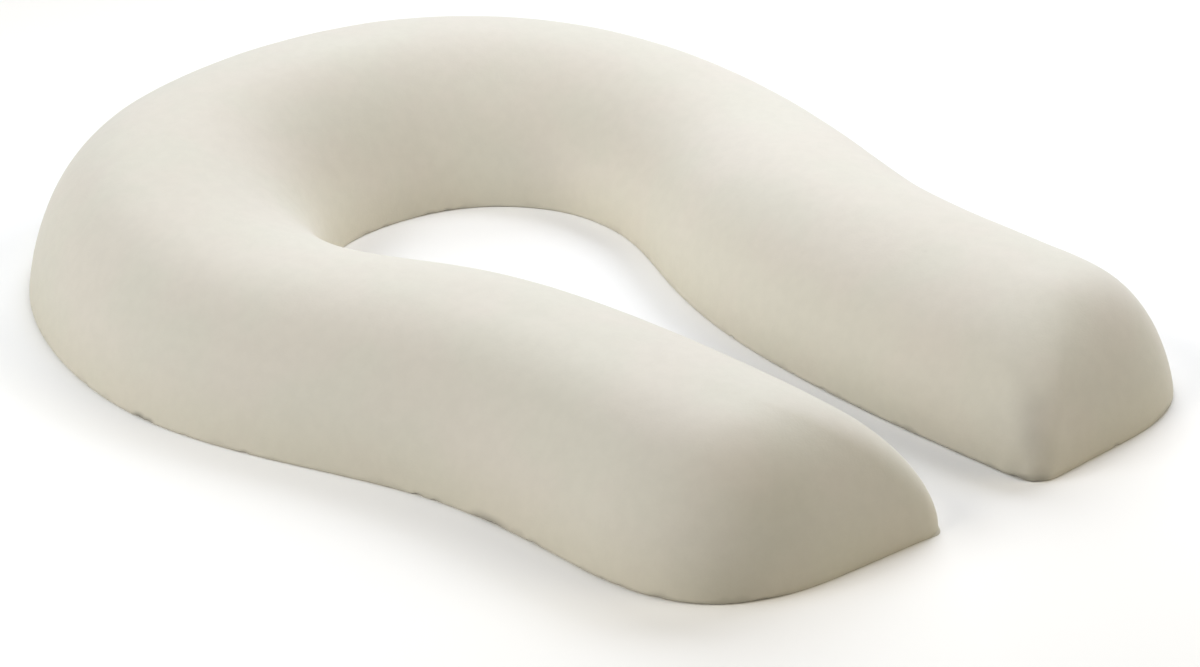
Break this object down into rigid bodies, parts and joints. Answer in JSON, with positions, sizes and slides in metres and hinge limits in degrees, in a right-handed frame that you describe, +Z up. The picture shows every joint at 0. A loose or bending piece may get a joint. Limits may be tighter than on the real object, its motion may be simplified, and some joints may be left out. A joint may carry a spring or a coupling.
{
  "type": "U-shaped body pillow",
  "caption": "U-shaped body pillow of moulded foam with a flat underside, a closed domed head and two straight arms with steep ends.",
  "frame": {"origin": "middle of the bounding box of the flat underside", "axes": "+Y to the closed head of the U, -Y to its open arms, +X across the pillow, +Z up from the flat underside"},
  "size_m": [0.9002, 1.0908, 0.155],
  "materials": {
    "moulded_foam": "matte cream skin of moulded foam"
  },
  "bodies": {
    "root": {"pillow": "moulded_foam"}
  },
  "joints": []
}
